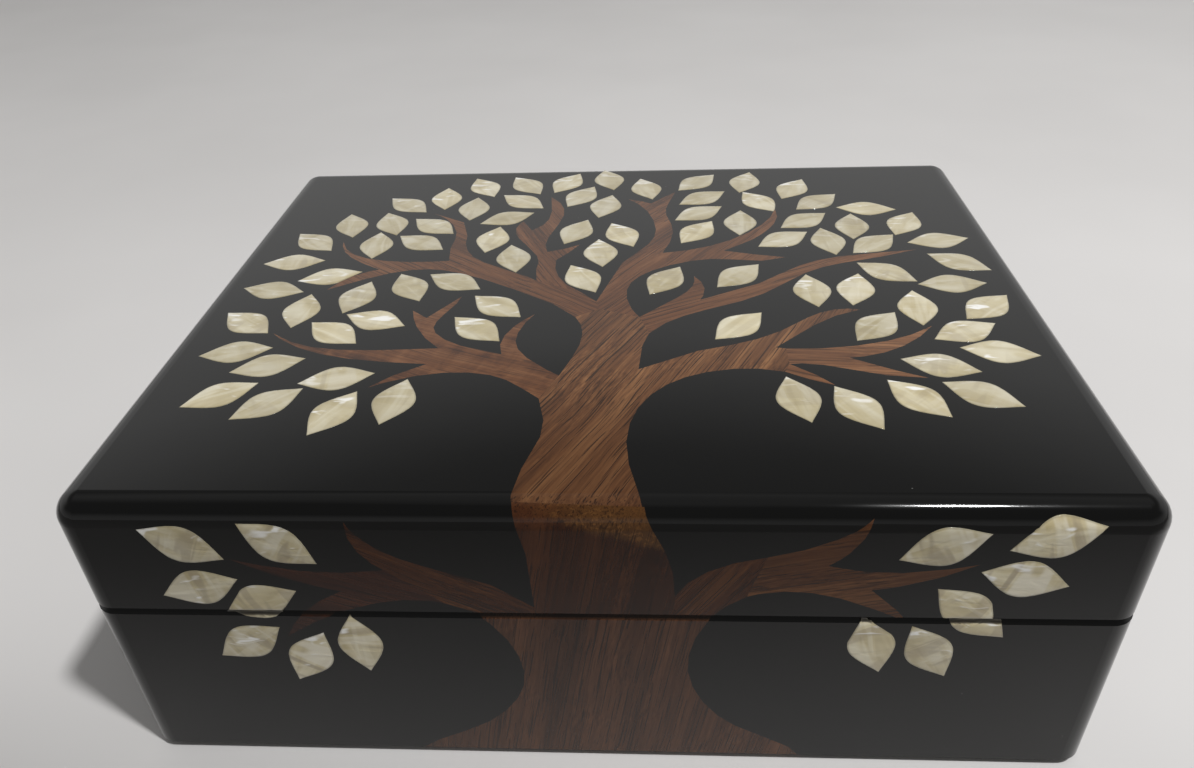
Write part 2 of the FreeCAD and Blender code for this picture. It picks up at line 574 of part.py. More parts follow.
def lid_front_point(x, z):
    """Point of the pattern on the lid's front, measured from the seam."""
    rise = (size("box_height") - size("seam_height")) / (PATTERN_HEIGHT - PATTERN_SEAM)
    return FreeCAD.Vector(x * size("box_width") / PATTERN_WIDTH, -size("box_depth") / 2 - OVERRUN,
                          size("seam_height") + (z - PATTERN_SEAM) * rise)


def base_front_point(x, z):
    """Point of the pattern on the base's front."""
    return FreeCAD.Vector(x * size("box_width") / PATTERN_WIDTH, -size("box_depth") / 2 - OVERRUN,
                          z * size("seam_height") / PATTERN_SEAM)


def outline(strokes, place):
    """Face inside a closed run of strokes, with its curves laid as short chords."""
    corners = []
    for stroke in strokes:
        points = [place(*point) for point in stroke]
        if len(points) > 2:
            curve = Part.BSplineCurve()
            curve.interpolate(points)
            points = curve.discretize(Deflection=CURVE_ACCURACY)
        corners += points[:-1]
    return Part.Face(Part.makePolygon(corners + corners[:1]))


def leaf_face(x, y, turn, place):
    """Pointed oval: straight runs from both tips to a blunt belly. It shrinks with a tighter pattern."""
    scale = min(size("box_width") / PATTERN_WIDTH, size("box_depth") / PATTERN_DEPTH)
    half, belly, shoulder = (scale * measure for measure in
                             (size("leaf_length") / 2, size("leaf_width") / 2, size("leaf_shoulder")))
    side = belly - scale * size("leaf_shoulder_drop")
    corners = [(half, 0), (shoulder, side), (0, belly), (-shoulder, side),
               (-half, 0), (-shoulder, -side), (0, -belly), (shoulder, -side)]
    middle = place(x, y)
    along = (place(x + 1, y) - middle).normalize()
    across = (place(x, y + 1) - middle).normalize()
    cosine, sine = math.cos(math.radians(turn)), math.sin(math.radians(turn))
    spots = [middle + along * (u * cosine - v * sine) + across * (u * sine + v * cosine) for u, v in corners]
    return Part.Face(Part.makePolygon(spots + spots[:1]))


def largest(shape):
    """The one face that a trimmed outline is cut from."""
    return max(shape.Faces, key=lambda face: face.Area)


def trimmed_leaves(spots, woods, place):
    """Leaf faces, each trimmed where it meets wood or an earlier leaf."""
    faces = []
    for spot in spots:
        face = leaf_face(*spot, place)
        rivals = [other for other in woods + faces if other.BoundBox.intersect(face.BoundBox)]
        if any(face.distToShape(other)[0] < TOUCHING for other in rivals):
            face = largest(face.cut(rivals))
        faces.append(face)
    return faces


def prism(label, faces, sweep):
    """Solids swept from outlines, in one object."""
    thing = doc.addObject("Part::Feature", label)
    solids = [face.extrude(sweep) for face in faces]
    thing.Shape = solids[0] if len(solids) == 1 else Part.makeCompound(solids)
    return thing


def inlay_prisms(woods, leaf_label, leaf_spots, place, sweep):
    """Prisms of all the wood and leaves on one face of the box."""
    wood_faces = {label: outline(strokes, place) for label, strokes in woods.items()}
    prisms = {label: prism(f"{label}_prism", [face], sweep) for label, face in wood_faces.items()}
    leaf_faces = trimmed_leaves(leaf_spots, list(wood_faces.values()), place)
    prisms[leaf_label] = prism(f"{leaf_label}_prism", leaf_faces, sweep)
    return prisms


# The trunk bends over the rounded front edge; its two pieces part on a sloping plane

round_y = size("top_roundover") - size("box_depth") / 2
round_z = size("box_height") - size("top_roundover")
joint_point = FreeCAD.Vector(top_point(*TOP_WOOD["lid_trunk"][0][0]).x, round_y, round_z)
joint_angle = math.radians(size("trunk_joint_angle"))
joint_normal = FreeCAD.Vector(size("trunk_joint_slope"), math.cos(joint_angle), math.sin(joint_angle))
reach = size("box_width") + size("box_depth")
above_joint = Part.makeBox(2 * reach, 2 * reach, reach, FreeCAD.Vector(-reach, -reach, 0))
joint_turn = FreeCAD.Rotation(FreeCAD.Vector(0, 0, 1), joint_normal)
above_joint.Placement = FreeCAD.Placement(joint_point, joint_turn)

into_top = FreeCAD.Vector(0, 0, size("top_roundover") + size("ground_thickness") + OVERRUN)
into_front = FreeCAD.Vector(0, OVERRUN + size("ground_thickness") + size("top_roundover") / 2, 0)
top_prisms = inlay_prisms(TOP_WOOD, "lid_leaves_top", TOP_LEAVES, top_point, into_top)
front_prisms = inlay_prisms(LID_FRONT_WOOD, "lid_leaves_front", LID_FRONT_LEAVES, lid_front_point, into_front)
base_prisms = inlay_prisms(BASE_FRONT_WOOD, "base_leaves", BASE_FRONT_LEAVES, base_front_point, into_front)
top_trunk, front_trunk = top_prisms["lid_trunk"], front_prisms["lid_trunk_front"]
top_trunk.Shape = top_trunk.Shape.common(above_joint)
front_trunk.Shape = front_trunk.Shape.cut(above_joint)
lid_prisms = {**top_prisms, **front_prisms}
for half, skin, prisms in (("base", base_skin, base_prisms), ("lid", lid_skin, lid_prisms)):
    for label, thing in prisms.items():
        keep(common(label, skin, thing))
    keep(cut(f"{half}_ground", skin, grouped(f"{half}_windows", list(prisms.values()))))

# Check everything, then write one file for each piece

doc.recompute()
for thing in doc.Objects:
    if {"Invalid", "Error"} & set(thing.State):
        raise RuntimeError(f"{thing.Label}: {thing.State}")
for thing in parts:
    if thing.Shape.isNull() or not thing.Shape.isValid() or not thing.Shape.Solids:
        raise RuntimeError(f"{thing.Label}: no valid solid")
os.makedirs("parts", exist_ok=True)
for thing in parts:
    thing.Shape.exportStep(f"parts/{thing.Label}.step")
    print(f"{thing.Label}: {len(thing.Shape.Solids)} solids, {thing.Shape.Volume / 1000:.2f} cm3")
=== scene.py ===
"""Looks of the inlaid wooden box: materials, soft pieces, smooth shell leaves, floor, light and camera."""

import json
import math
import random

import bmesh
import bpy
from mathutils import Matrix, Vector

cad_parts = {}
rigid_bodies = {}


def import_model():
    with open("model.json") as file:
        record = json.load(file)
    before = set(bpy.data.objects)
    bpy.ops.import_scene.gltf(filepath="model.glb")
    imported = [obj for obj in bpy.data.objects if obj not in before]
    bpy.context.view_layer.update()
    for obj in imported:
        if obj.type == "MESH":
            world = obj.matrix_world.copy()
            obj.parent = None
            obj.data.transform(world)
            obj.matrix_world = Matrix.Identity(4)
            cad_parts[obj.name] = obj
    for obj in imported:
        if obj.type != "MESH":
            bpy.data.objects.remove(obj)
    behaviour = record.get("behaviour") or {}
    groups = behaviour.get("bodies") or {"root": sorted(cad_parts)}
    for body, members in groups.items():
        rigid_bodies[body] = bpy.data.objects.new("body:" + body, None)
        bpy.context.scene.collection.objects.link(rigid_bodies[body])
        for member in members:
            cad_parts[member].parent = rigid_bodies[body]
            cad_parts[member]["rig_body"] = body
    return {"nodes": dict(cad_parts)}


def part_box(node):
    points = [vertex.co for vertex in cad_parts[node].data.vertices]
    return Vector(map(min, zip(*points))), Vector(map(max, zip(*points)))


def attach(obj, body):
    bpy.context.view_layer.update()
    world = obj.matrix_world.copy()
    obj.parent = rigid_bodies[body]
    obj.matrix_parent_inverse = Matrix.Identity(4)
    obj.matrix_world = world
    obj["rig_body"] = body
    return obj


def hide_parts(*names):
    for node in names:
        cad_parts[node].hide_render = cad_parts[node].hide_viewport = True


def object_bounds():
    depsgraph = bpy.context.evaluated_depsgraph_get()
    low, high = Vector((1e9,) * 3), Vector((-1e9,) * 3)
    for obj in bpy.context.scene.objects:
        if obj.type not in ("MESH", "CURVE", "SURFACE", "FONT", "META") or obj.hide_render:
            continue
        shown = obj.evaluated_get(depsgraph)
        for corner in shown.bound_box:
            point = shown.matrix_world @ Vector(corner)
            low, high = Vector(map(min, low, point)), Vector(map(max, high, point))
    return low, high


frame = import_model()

CAD_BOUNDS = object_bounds()
LOW, HIGH = CAD_BOUNDS
NODES = frame["nodes"]
MM = 0.001
SEAM_BASE, SEAM_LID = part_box("base_ground")[1].z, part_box("lid_ground")[0].z
ROUNDOVER = 6.2 * MM
BASE_RIM_EASING, LID_RIM_EASING = 1.5 * MM, 0.3 * MM
UP, FORWARD = Vector((0, 0, 1)), Vector((0, -1, 0))

for leftover in ("Cube", "Light", "Camera"):
    if leftover in bpy.data.objects:
        bpy.data.objects.remove(bpy.data.objects[leftover])


# Node graphs

MIX_FACTOR, MIX_COLOUR_A, MIX_COLOUR_B, MIX_COLOUR_OUT = 0, 6, 7, 2
# Colour of the painted shade on the base's eased rim, and in millimetres how it fades in at the bottom and
# ends above the seam
RIM_SHADE = (0.012, 0.006, 0.003)
RIM_FADE_MM = 0.3
RIM_END_MM = (0.2, 0.1)


class Graph:
    """The node tree of a material or of the world, with one call per node."""

    def __init__(self, owner, kind="Material"):
        owner.use_nodes = True
        self.owner = owner
        self.tree = owner.node_tree
        self.tree.nodes.clear()
        self.out = self.tree.nodes.new(f"ShaderNodeOutput{kind}")

    def node(self, kind, settings=None, **sockets):
        """A node with its settings. Its sockets are fed by name, with an underscore for each space."""
        made = self.tree.nodes.new(f"ShaderNode{kind}")
        for key, value in (settings or {}).items():
            setattr(made, key, value)
        for key, value in sockets.items():
            self.feed(made, key.replace("_", " "), value)
        return made

    def feed(self, node, socket, value):
        """A link where the value comes from another node, and a constant otherwise."""
        target = node.inputs[socket]
        if isinstance(value, bpy.types.NodeSocket):
            self.tree.links.new(value, target)
        else:
            target.default_value = value

    def show(self, shader):
        self.tree.links.new(shader.outputs[0], self.out.inputs["Surface"])

    def surface(self, **sockets):
        """The finished material, with one principled shader."""
        self.show(self.node("BsdfPrincipled", **sockets))
        return self.owner

    def calc(self, operation, a, b):
        made = self.node("Math", {"operation": operation})
        self.feed(made, 0, a)
        self.feed(made, 1, b)
        return made.outputs[0]

    def plus(self, a, b):
        return self.calc("ADD", a, b)

    def times(self, first, *others):
        product = first
        for factor in others:
            product = self.calc("MULTIPLY", product, factor)
        return product

    def swing(self, noise, amount):
        """A noise turned into a swing about zero."""
        return self.times(self.calc("SUBTRACT", noise, 0.5), amount)

    def vectors(self, operation, a, b):
        made = self.node("VectorMath", {"operation": operation})
        self.feed(made, 0, a)
        self.feed(made, 1, b)
        return made

    def scaled(self, vector, scale):
        return self.vectors("MULTIPLY", vector, scale).outputs[0]

    def axis(self, vector, letter):
        return self.node("SeparateXYZ", Vector=vector).outputs[letter]

    def object_mm(self, turn=(0, 0, 0), scale=(1.0, 1.0, 1.0)):
        """Object coordinates in millimetres, turned by angles in degrees and then scaled."""
        where = self.node("TexCoord").outputs["Object"]
        angles = [math.radians(angle) for angle in turn]
        turned = self.node("Mapping", Vector=where, Rotation=angles, Scale=(1 / MM,) * 3)
        return self.scaled(turned.outputs["Vector"], scale)

    def noise(self, vector, scale=1.0, detail=3.0, roughness=0.55, distortion=0.0):
        made = self.node("TexNoise", Vector=vector, Scale=scale, Detail=detail, Roughness=roughness,
                         Distortion=distortion)
        return made.outputs["Fac"]

    def grain(self, vector, lengthwise, crosswise, **settings):
        """Noise with so many cells per millimetre lengthwise, which is along X, and crosswise."""
        return self.noise(self.scaled(vector, (lengthwise, crosswise, crosswise)), **settings)

    def span(self, value, reach, levels=(0.0, 1.0)):
        """A soft step from the first level to the second while the value passes through its reach."""
        made = self.node("MapRange", {"clamp": True, "interpolation_type": "SMOOTHSTEP"}, Value=value,
                         From_Min=reach[0], From_Max=reach[1], To_Min=levels[0], To_Max=levels[1])
        return made.outputs[0]

    def ramp(self, value, stops):
        made = self.node("ValToRGB", Fac=value)
        elements = made.color_ramp.elements
        while len(elements) < len(stops):
            elements.new(0.5)
        for element, (place, colour) in zip(elements, stops):
            element.position = place
            element.color = (*colour, 1.0)
        return made.outputs["Color"]

    def mix(self, factor, a, b):
        made = self.node("Mix", {"data_type": "RGBA"})
        self.feed(made, MIX_FACTOR, factor)
        for socket, colour in ((MIX_COLOUR_A, a), (MIX_COLOUR_B, b)):
            self.feed(made, socket, (*colour, 1.0) if isinstance(colour, tuple) else colour)
        return made.outputs[MIX_COLOUR_OUT]

    def painted_rim_shade(self, colour, share):
        """A colour with painted shade on the base's eased rim, where the lid keeps the light off."""
        bottom, top = (SEAM_BASE - BASE_RIM_EASING) / MM, SEAM_BASE / MM
        height = self.axis(self.object_mm(), "Z")
        above = self.span(height, (bottom, bottom + RIM_FADE_MM))
        below = self.span(height, [top + end for end in RIM_END_MM])
        return self.mix(self.times(above, below, share), colour, RIM_SHADE)

    def bump(self, height, distance_mm, strength):
        made = self.node("Bump", Height=height, Distance=distance_mm * MM, Strength=strength)
        return made.outputs["Normal"]


def material(name):
    return Graph(bpy.data.materials.new(name))


def toned(colour, share):
    return tuple(share * channel for channel in colour)


# Materials

LACQUER_IOR, SHELL_COAT_IOR = 1.46, 1.5
LEAF_CHART = "leaf"
LEAF_VALUES = ("rim", "tone", "folded", "side")


def lacquer():
    """Polished black resin: deep gloss, faint swirl marks, a few specks of dust."""
    black, dust = (0.0016, 0.0016, 0.0015), (0.22, 0.22, 0.21)
    g = material("black_lacquer")
    where = g.object_mm()
    haze = g.noise(where, scale=0.03, detail=4.0)
    swirl = g.noise(g.object_mm(turn=(0, 0, 35), scale=(0.25, 6.0, 1.0)), detail=2.0)
    scratch = g.times(g.span(swirl, (0.70, 0.78)), 0.05)
    rough = g.plus(g.span(haze, (0.3, 0.7), (0.05, 0.085)), scratch)
    cells = g.node("TexVoronoi", {"feature": "F1"}, Vector=where, Scale=0.11)
    chance = g.node("SeparateColor", Color=cells.outputs["Color"]).outputs["Red"]
    dot = g.span(cells.outputs["Distance"], (0.012, 0.022), (1.0, 0.0))
    speck = g.times(dot, g.span(chance, (0.55, 0.6)), 0.5)
    wave = g.bump(g.noise(where, scale=0.045, detail=2.0), 0.05, 0.25)
    return g.surface(Base_Color=g.mix(speck, black, dust), Roughness=rough, IOR=LACQUER_IOR, Normal=wave)


def bent_grain(g, flat, turn):
    """Coordinates that follow the grain along X and sway a little across it."""
    warp = g.noise(flat, scale=0.02, detail=2.0)
    sway = g.node("CombineXYZ", X=0.0, Y=g.times(warp, 4.0), Z=g.times(warp, 2.5))
    return g.vectors("ADD", g.object_mm(turn), sway.outputs[0]).outputs[0]


def grain_pores(g, along, strength):
    """Long and short dark pores of the open grain."""
    long = g.grain(along, 0.028, 1.9, detail=1.0, roughness=0.5)
    short = g.grain(along, 0.065, 3.4, detail=1.0, roughness=0.5)
    both = g.calc("MAXIMUM", g.span(long, (0.600, 0.650)), g.span(short, (0.610, 0.680), (0.0, 0.8)))
    return g.times(both, strength)


def gilded(g, colour, flat, fibre, way, start, shade):
    """The colour with a lighter part beyond a plane: way is across the plane and start its distance. The
    edge of that part is ragged and flaky, and its left is weaker."""
    beyond = g.vectors("DOT_PRODUCT", flat, way).outputs["Value"]
    ragged = g.plus(beyond, g.swing(fibre, 5.0))
    right = g.span(g.axis(flat, "X"), (-14.0, 4.0), (0.25, 1.0))
    whole = g.span(ragged, (start - 1.0, start + 1.6), (0.0, 0.75))
    colour = g.mix(g.times(whole, right), colour, shade)
    flakes = g.noise(flat, scale=0.75, detail=2.0, roughness=0.6, distortion=0.8)
    edge = g.times(g.span(ragged, (start - 0.5, start + 2.0)), g.span(ragged, (start + 7.0, start + 3.0)))
    lit = g.times(edge, right, g.span(flakes, (0.46, 0.66), (0.0, 0.55)))
    return g.mix(lit, colour, toned(shade, 2.3))


def inlay_wood(name, tones, turn, band=5.3, stripes=0.58, figure=0.0, pores=0.8, gold=None, foot=None):
    """Lacquered hardwood. tones are its dark, middle and light colours, and turn brings its grain to the X
    axis. band is the width of its stripes in millimetres and stripes their share of the tone. figure and
    pores say how strong those are. gold is a lighter part beyond a plane, and foot a darker end."""
    dark, middle, light = tones
    g = material(name)
    flat = g.object_mm()
    along = bent_grain(g, flat, turn)
    bands = g.grain(along, 0.007, 1 / band)
    fibre = g.grain(along, 0.030, 1.05, detail=4.0, roughness=0.6)
    fleck = g.grain(along, 0.34, 1.7, detail=1.5, roughness=0.5)
    fine = g.grain(along, 0.10, 4.5, detail=2.0)
    patch = g.span(g.noise(flat, scale=0.05, detail=1.0), (0.50, 0.62), (0.15, 0.8))
    tone = g.plus(g.times(bands, stripes), g.times(fibre, 1 - stripes))
    tone = g.plus(tone, g.swing(fleck, g.times(patch, 0.5)))
    if figure:
        tone = g.plus(tone, g.swing(g.grain(along, 0.20, 0.07, distortion=0.6), figure))
    colour = g.ramp(tone, [(0.34, dark), (0.50, middle), (0.66, light)])
    if gold:
        colour = gilded(g, colour, flat, fibre, **gold)
    if foot:
        near = g.span(g.axis(flat, "Y"), foot["reach"], (foot["share"], 0.0))
        colour = g.mix(near, colour, toned(dark, 0.9))
    pore = grain_pores(g, along, 0.85 * pores)
    colour = g.mix(pore, colour, toned(dark, 0.25))
    colour = g.mix(g.span(fine, (0.35, 0.75), (0.0, 0.35)), colour, dark)
    # Painted shade on the part of a base piece that lies on the eased rim, which the lid keeps from the
    # light.
    if name.startswith("base"):
        colour = g.painted_rim_shade(colour, 0.75)
    relief = g.bump(g.calc("SUBTRACT", fibre, pore), 0.06, 0.4)
    rough = g.span(fibre, (0.3, 0.7), (0.42, 0.58))
    return g.surface(Base_Color=colour, Roughness=rough, Specular_IOR_Level=0.0, Normal=relief,
                     Coat_Weight=1.0, Coat_Roughness=0.06, Coat_IOR=LACQUER_IOR)


def shell():
    """Mother-of-pearl: cream with olive clouds, layers that swing across, soft painted glints gathered
    towards one side, painted shade on the other side, a dark line along the edge, and painted shade on the
    base's eased rim.
    """
    olive, cream, ivory = (0.445, 0.374, 0.208), (0.548, 0.478, 0.300), (0.618, 0.565, 0.412)
    pale_layer, dark_layer = (0.705, 0.660, 0.510), (0.390, 0.325, 0.190)
    pale_fold, dark_fold = (0.71, 0.67, 0.555), (0.29, 0.235, 0.160)
    painted_glint, shadow, edge = (0.95, 0.94, 0.90), (0.36, 0.31, 0.20), (0.22, 0.195, 0.12)
    g = material("mother_of_pearl")
    uv = g.node("UVMap", {"uv_map": LEAF_CHART}).outputs["UV"]
    values = (g.node("Attribute", {"attribute_name": value}).outputs["Fac"] for value in LEAF_VALUES)
    rim, tone, folded, side = values
    cloud = g.noise(g.scaled(uv, (0.06, 0.11, 1.0)), detail=2.0, roughness=0.5, distortion=0.6)
    layers = g.noise(g.scaled(uv, (0.05, 0.24, 1.0)), detail=1.0, roughness=0.4, distortion=1.4)
    slant = g.node("Mapping", Vector=uv, Rotation=(0.0, 0.0, math.radians(28)), Scale=(0.20, 0.045, 1.0))
    fold = g.noise(slant.outputs["Vector"], detail=2.0, roughness=0.5, distortion=0.7)
    glint = g.grain(g.object_mm(), 0.13, 0.40, detail=1.5, roughness=0.4, distortion=0.9)
    colour = g.ramp(cloud, [(0.32, olive), (0.50, cream), (0.66, ivory)])
    colour = g.mix(g.span(layers, (0.53, 0.66), (0.0, 0.40)), colour, pale_layer)
    colour = g.mix(g.span(layers, (0.45, 0.36), (0.0, 0.30)), colour, dark_layer)
    colour = g.mix(g.times(g.span(fold, (0.47, 0.37), (0.0, 0.75)), folded), colour, dark_fold)
    colour = g.mix(g.times(g.span(fold, (0.52, 0.64), (0.0, 0.75)), folded), colour, pale_fold)
    bright = g.span(tone, (0.0, 1.5), (0.90, 1.24))
    colour = g.node("HueSaturation", Saturation=1.0, Value=bright, Color=colour).outputs[0]
    # Painted highlights: pale glints, with more of them towards the lit side.
    high = g.plus(glint, g.times(side, 0.13))
    lit = g.times(g.span(high, (0.615, 0.76), (0.0, 0.95)), g.span(tone, (0.1, 0.7), (0.25, 1.0)))
    colour = g.mix(lit, colour, painted_glint)
    # Painted shade on the side away from the light.
    colour = g.mix(g.span(side, (-0.25, -0.75), (0.0, 0.22)), colour, shadow)
    # A dark line along the leaf's edge. On the base's eased rim it covers the whole part there as painted
    # shade.
    colour = g.mix(g.span(rim, (0.0, 0.6), (0.65, 0.0)), colour, edge)
    relief = g.bump(g.plus(glint, g.times(layers, 0.5)), 0.6, 0.35)
    return g.surface(Base_Color=g.painted_rim_shade(colour, 0.8), Roughness=0.33, Specular_IOR_Level=0.3,
                     Normal=relief, Coat_Weight=1.0, Coat_Roughness=0.05, Coat_IOR=SHELL_COAT_IOR)


def carcass(name, turn):
    """Sanded hardwood of the walls, seen at the rims and the bevels. turn brings its grain to the X axis."""
    dark, middle, light = (0.27, 0.145, 0.070), (0.37, 0.225, 0.120), (0.45, 0.295, 0.170)
    streak = (0.21, 0.115, 0.058)
    g = material(name)
    along = g.object_mm(turn)
    grain = g.grain(along, 0.02, 0.6, detail=4.0, roughness=0.6, distortion=0.3)
    fine = g.grain(along, 0.15, 5.0, detail=2.0)
    colour = g.ramp(grain, [(0.3, dark), (0.5, middle), (0.7, light)])
    colour = g.mix(g.span(fine, (0.55, 0.75), (0.0, 0.45)), colour, streak)
    rough = g.span(grain, (0.3, 0.7), (0.42, 0.55))
    return g.surface(Base_Color=colour, Roughness=rough, Normal=g.bump(fine, 0.08, 0.4))


def brass():
    """Satin brass with drawing marks along the knuckles and a little tarnish."""
    tarnish, worn, clean = (0.50, 0.31, 0.11), (0.74, 0.52, 0.22), (0.80, 0.59, 0.28)
    g = material("satin_brass")
    where = g.object_mm()
    drawn = g.grain(where, 0.25, 9.0)
    stain = g.noise(where, scale=0.22, detail=4.0)
    colour = g.ramp(stain, [(0.32, tarnish), (0.5, worn), (0.7, clean)])
    rough = g.plus(g.span(stain, (0.3, 0.7), (0.36, 0.22)), g.times(drawn, 0.10))
    return g.surface(Base_Color=colour, Metallic=1.0, Roughness=rough, Normal=g.bump(drawn, 0.02, 0.35))


def velvet():
    """Deep red velvet: patches of lighter and darker red that paint the sheen of pile lying different ways,
    painted shade between the tufts of a short pile, and a sheen on that pile that catches light at the
    edges.
    """
    dark, middle, light = (0.150, 0.011, 0.019), (0.175, 0.014, 0.024), (0.205, 0.019, 0.030)
    pile_shade, sheen = (0.085, 0.005, 0.010), (0.9, 0.32, 0.34, 1.0)
    g = material("red_velvet")
    where = g.object_mm()
    brushed_sheen = g.noise(where, scale=0.035, roughness=0.5, distortion=0.6)
    pile = g.noise(where, scale=3.2, detail=2.0, roughness=0.7)
    colour = g.ramp(brushed_sheen, [(0.35, dark), (0.52, middle), (0.68, light)])
    colour = g.mix(g.span(pile, (0.4, 0.7), (0.0, 0.4)), colour, pile_shade)
    return g.surface(Base_Color=colour, Roughness=0.95, Specular_IOR_Level=0.15, Sheen_Weight=0.55,
                     Sheen_Roughness=0.35, Sheen_Tint=sheen, Normal=g.bump(pile, 0.25, 0.6))


def felt():
    """Thin dark felt: matted fibres without a weave."""
    dark, middle, light = (0.022, 0.025, 0.022), (0.05, 0.056, 0.05), (0.10, 0.108, 0.098)
    worn = (0.035, 0.038, 0.034)
    g = material("dark_felt")
    where = g.object_mm()
    fibre = g.noise(where, scale=1.6, detail=5.0, roughness=0.75, distortion=1.5)
    cloud = g.noise(where, scale=0.06)
    colour = g.ramp(fibre, [(0.3, dark), (0.55, middle), (0.75, light)])
    colour = g.mix(g.span(cloud, (0.35, 0.7), (0.0, 0.35)), colour, worn)
    return g.surface(Base_Color=colour, Roughness=0.95, Specular_IOR_Level=0.1, Sheen_Weight=0.25,
                     Normal=g.bump(fibre, 0.3, 0.7))


# Materials of the solids

# Tones of each inlaid wood: dark, middle and light
TRUNK_WOOD = ((0.054, 0.020, 0.007), (0.150, 0.060, 0.021), (0.275, 0.126, 0.048))
LIMB_WOOD = ((0.060, 0.021, 0.008), (0.135, 0.050, 0.017), (0.205, 0.086, 0.034))
PALE_TWIG_WOOD = ((0.090, 0.034, 0.014), (0.190, 0.080, 0.032), (0.300, 0.140, 0.060))
TRUNK_FRONT_WOOD = ((0.021, 0.0056, 0.0015), (0.038, 0.0106, 0.0027), (0.074, 0.0230, 0.0062))
LIMB_FRONT_WOOD = ((0.022, 0.0054, 0.0012), (0.058, 0.0165, 0.0037), (0.118, 0.0420, 0.0105))
TWIG_FRONT_WOOD = ((0.018, 0.0044, 0.0017), (0.042, 0.0112, 0.0042), (0.070, 0.0210, 0.0080))
PALE_FRONT_WOOD = ((0.036, 0.0110, 0.0030), (0.080, 0.0270, 0.0072), (0.150, 0.0590, 0.0180))
BASE_WOOD = ((0.026, 0.0095, 0.0045), (0.070, 0.0265, 0.0115), (0.128, 0.0520, 0.0230))

# The trunk's darker foot and its golden part, with places in millimetres
TRUNK_FOOT = dict(reach=(-92.0, -35.0), share=0.50)
TRUNK_GOLD = dict(way=(0.310, 0.0, 0.9507), start=77.2, shade=(0.100, 0.043, 0.011))

# Each inlaid piece's tones, the turn of its grain in degrees, and what else sets it apart
WOOD_ON_TOP = {
    "lid_trunk": (TRUNK_WOOD, -62.5, dict(pores=1.0, foot=TRUNK_FOOT)),
    "lid_limb_left_low": (LIMB_WOOD, 22, dict(figure=0.5, pores=0.7)),
    "lid_limb_left_high": (LIMB_WOOD, 38, {}),
    "lid_limb_crown_left": (LIMB_WOOD, 65, {}),
    "lid_limb_crown_right": (LIMB_WOOD, -55, {}),
    "lid_limb_right_mid": (LIMB_WOOD, -28, {}),
    "lid_twig_right_outer": (PALE_TWIG_WOOD, 4, {}),
    "lid_twig_right_low": (LIMB_WOOD, 25, {}),
}
WOOD_ON_FRONT = {
    "lid_trunk_front": (TRUNK_FRONT_WOOD, 80, dict(band=8.0, stripes=0.72, pores=0.7, gold=TRUNK_GOLD)),
    "lid_limb_front_left": (LIMB_FRONT_WOOD, -28, {}),
    "lid_twig_front_left": (TWIG_FRONT_WOOD, -22, {}),
    "lid_limb_front_right": (LIMB_FRONT_WOOD, 55, {}),
    "lid_twig_front_right": (PALE_FRONT_WOOD, 12, {}),
    "base_trunk": (BASE_WOOD, 80, dict(band=9.0, stripes=0.72)),
    "base_twig_left": (TWIG_FRONT_WOOD, -20, {}),
}

looks = {
    "black_ground": lacquer(),
    "carcass_wood": carcass("carcass_hardwood", (0, 0, 0)),
    "brass": brass(),
    "velvet": velvet(),
    "felt": felt(),
    "shell": shell(),
}
side_wall = carcass("carcass_hardwood_sides", (0, 0, 90))


def wood_of(node):
    """Each inlaid piece has its own grain, which lies in the top or in the front."""
    if node in WOOD_ON_TOP:
        tones, angle, more = WOOD_ON_TOP[node]
        return inlay_wood(node, tones, (0, 0, angle), **more)
    tones, angle, more = WOOD_ON_FRONT[node]
    return inlay_wood(node, tones, (0, angle, 0), **more)


for name, thing in NODES.items():
    slot = thing.data.materials[0].name.split(".")[0]
    look = looks.get(slot) or wood_of(name)
    if name.endswith(("left_wall", "right_wall")):
        look = side_wall
    thing.data.materials.clear()
    thing.data.materials.append(look)


# New objects


def add_object(name, data):
    thing = bpy.data.objects.new(name, data)
    bpy.context.scene.collection.objects.link(thing)
    return thing


def add_mesh(name, mesh, look):
    data = bpy.data.meshes.new(name)
    mesh.to_mesh(data)
    mesh.free()
    data.materials.append(look)
    return add_object(name, data)


def stand_in(name, mesh, node, slot):
    """A piece that stands for a CAD node and moves with the same body."""
    piece = add_mesh(name, mesh, looks[slot])
    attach(piece, NODES[node]["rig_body"])
    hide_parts(node)
    return piece


def add_bands(mesh, rings):
    """Faces between each closed ring of vertices and the next one."""
    made = []
    for lower, upper in zip(rings, rings[1:]):
        for i in range(len(lower)):
            j = (i + 1) % len(lower)
            made.append(mesh.faces.new((lower[i], lower[j], upper[j], upper[i])))
    return made


# Shell leaves with smooth outlines

# Least cosines to the way out, of a leaf's outer faces and of its flat ones
FACES_OUT, FACES_STRAIGHT_OUT = 0.3, 0.9999

# Turns of a leaf's outline, and points on each of its curved edges
STRAIGHT_TURN, SHARP_TURN = math.radians(3), math.radians(40)
STEPS = 5

SAME_SPOT_DIGITS = 7
AT_SEAM = 0.02 * MM
ROUNDOVER_END = 0.98

# Rings of a leaf and its middle: distance from the edge and height, in millimetres
RINGS = ((0.0, 0.010), (0.15, 0.040), (0.45, 0.075), (1.2, 0.11), (2.6, 0.13))
MIDDLE = (5.0, 0.14)
NEAREST_MIDDLE = 0.85
SUNK, SUNK_TAPER = 0.8 * MM, 0.04
LEAF_HALF = 10.0 * MM
CHART_STEP = 40.0
LEAF_SEED = 7


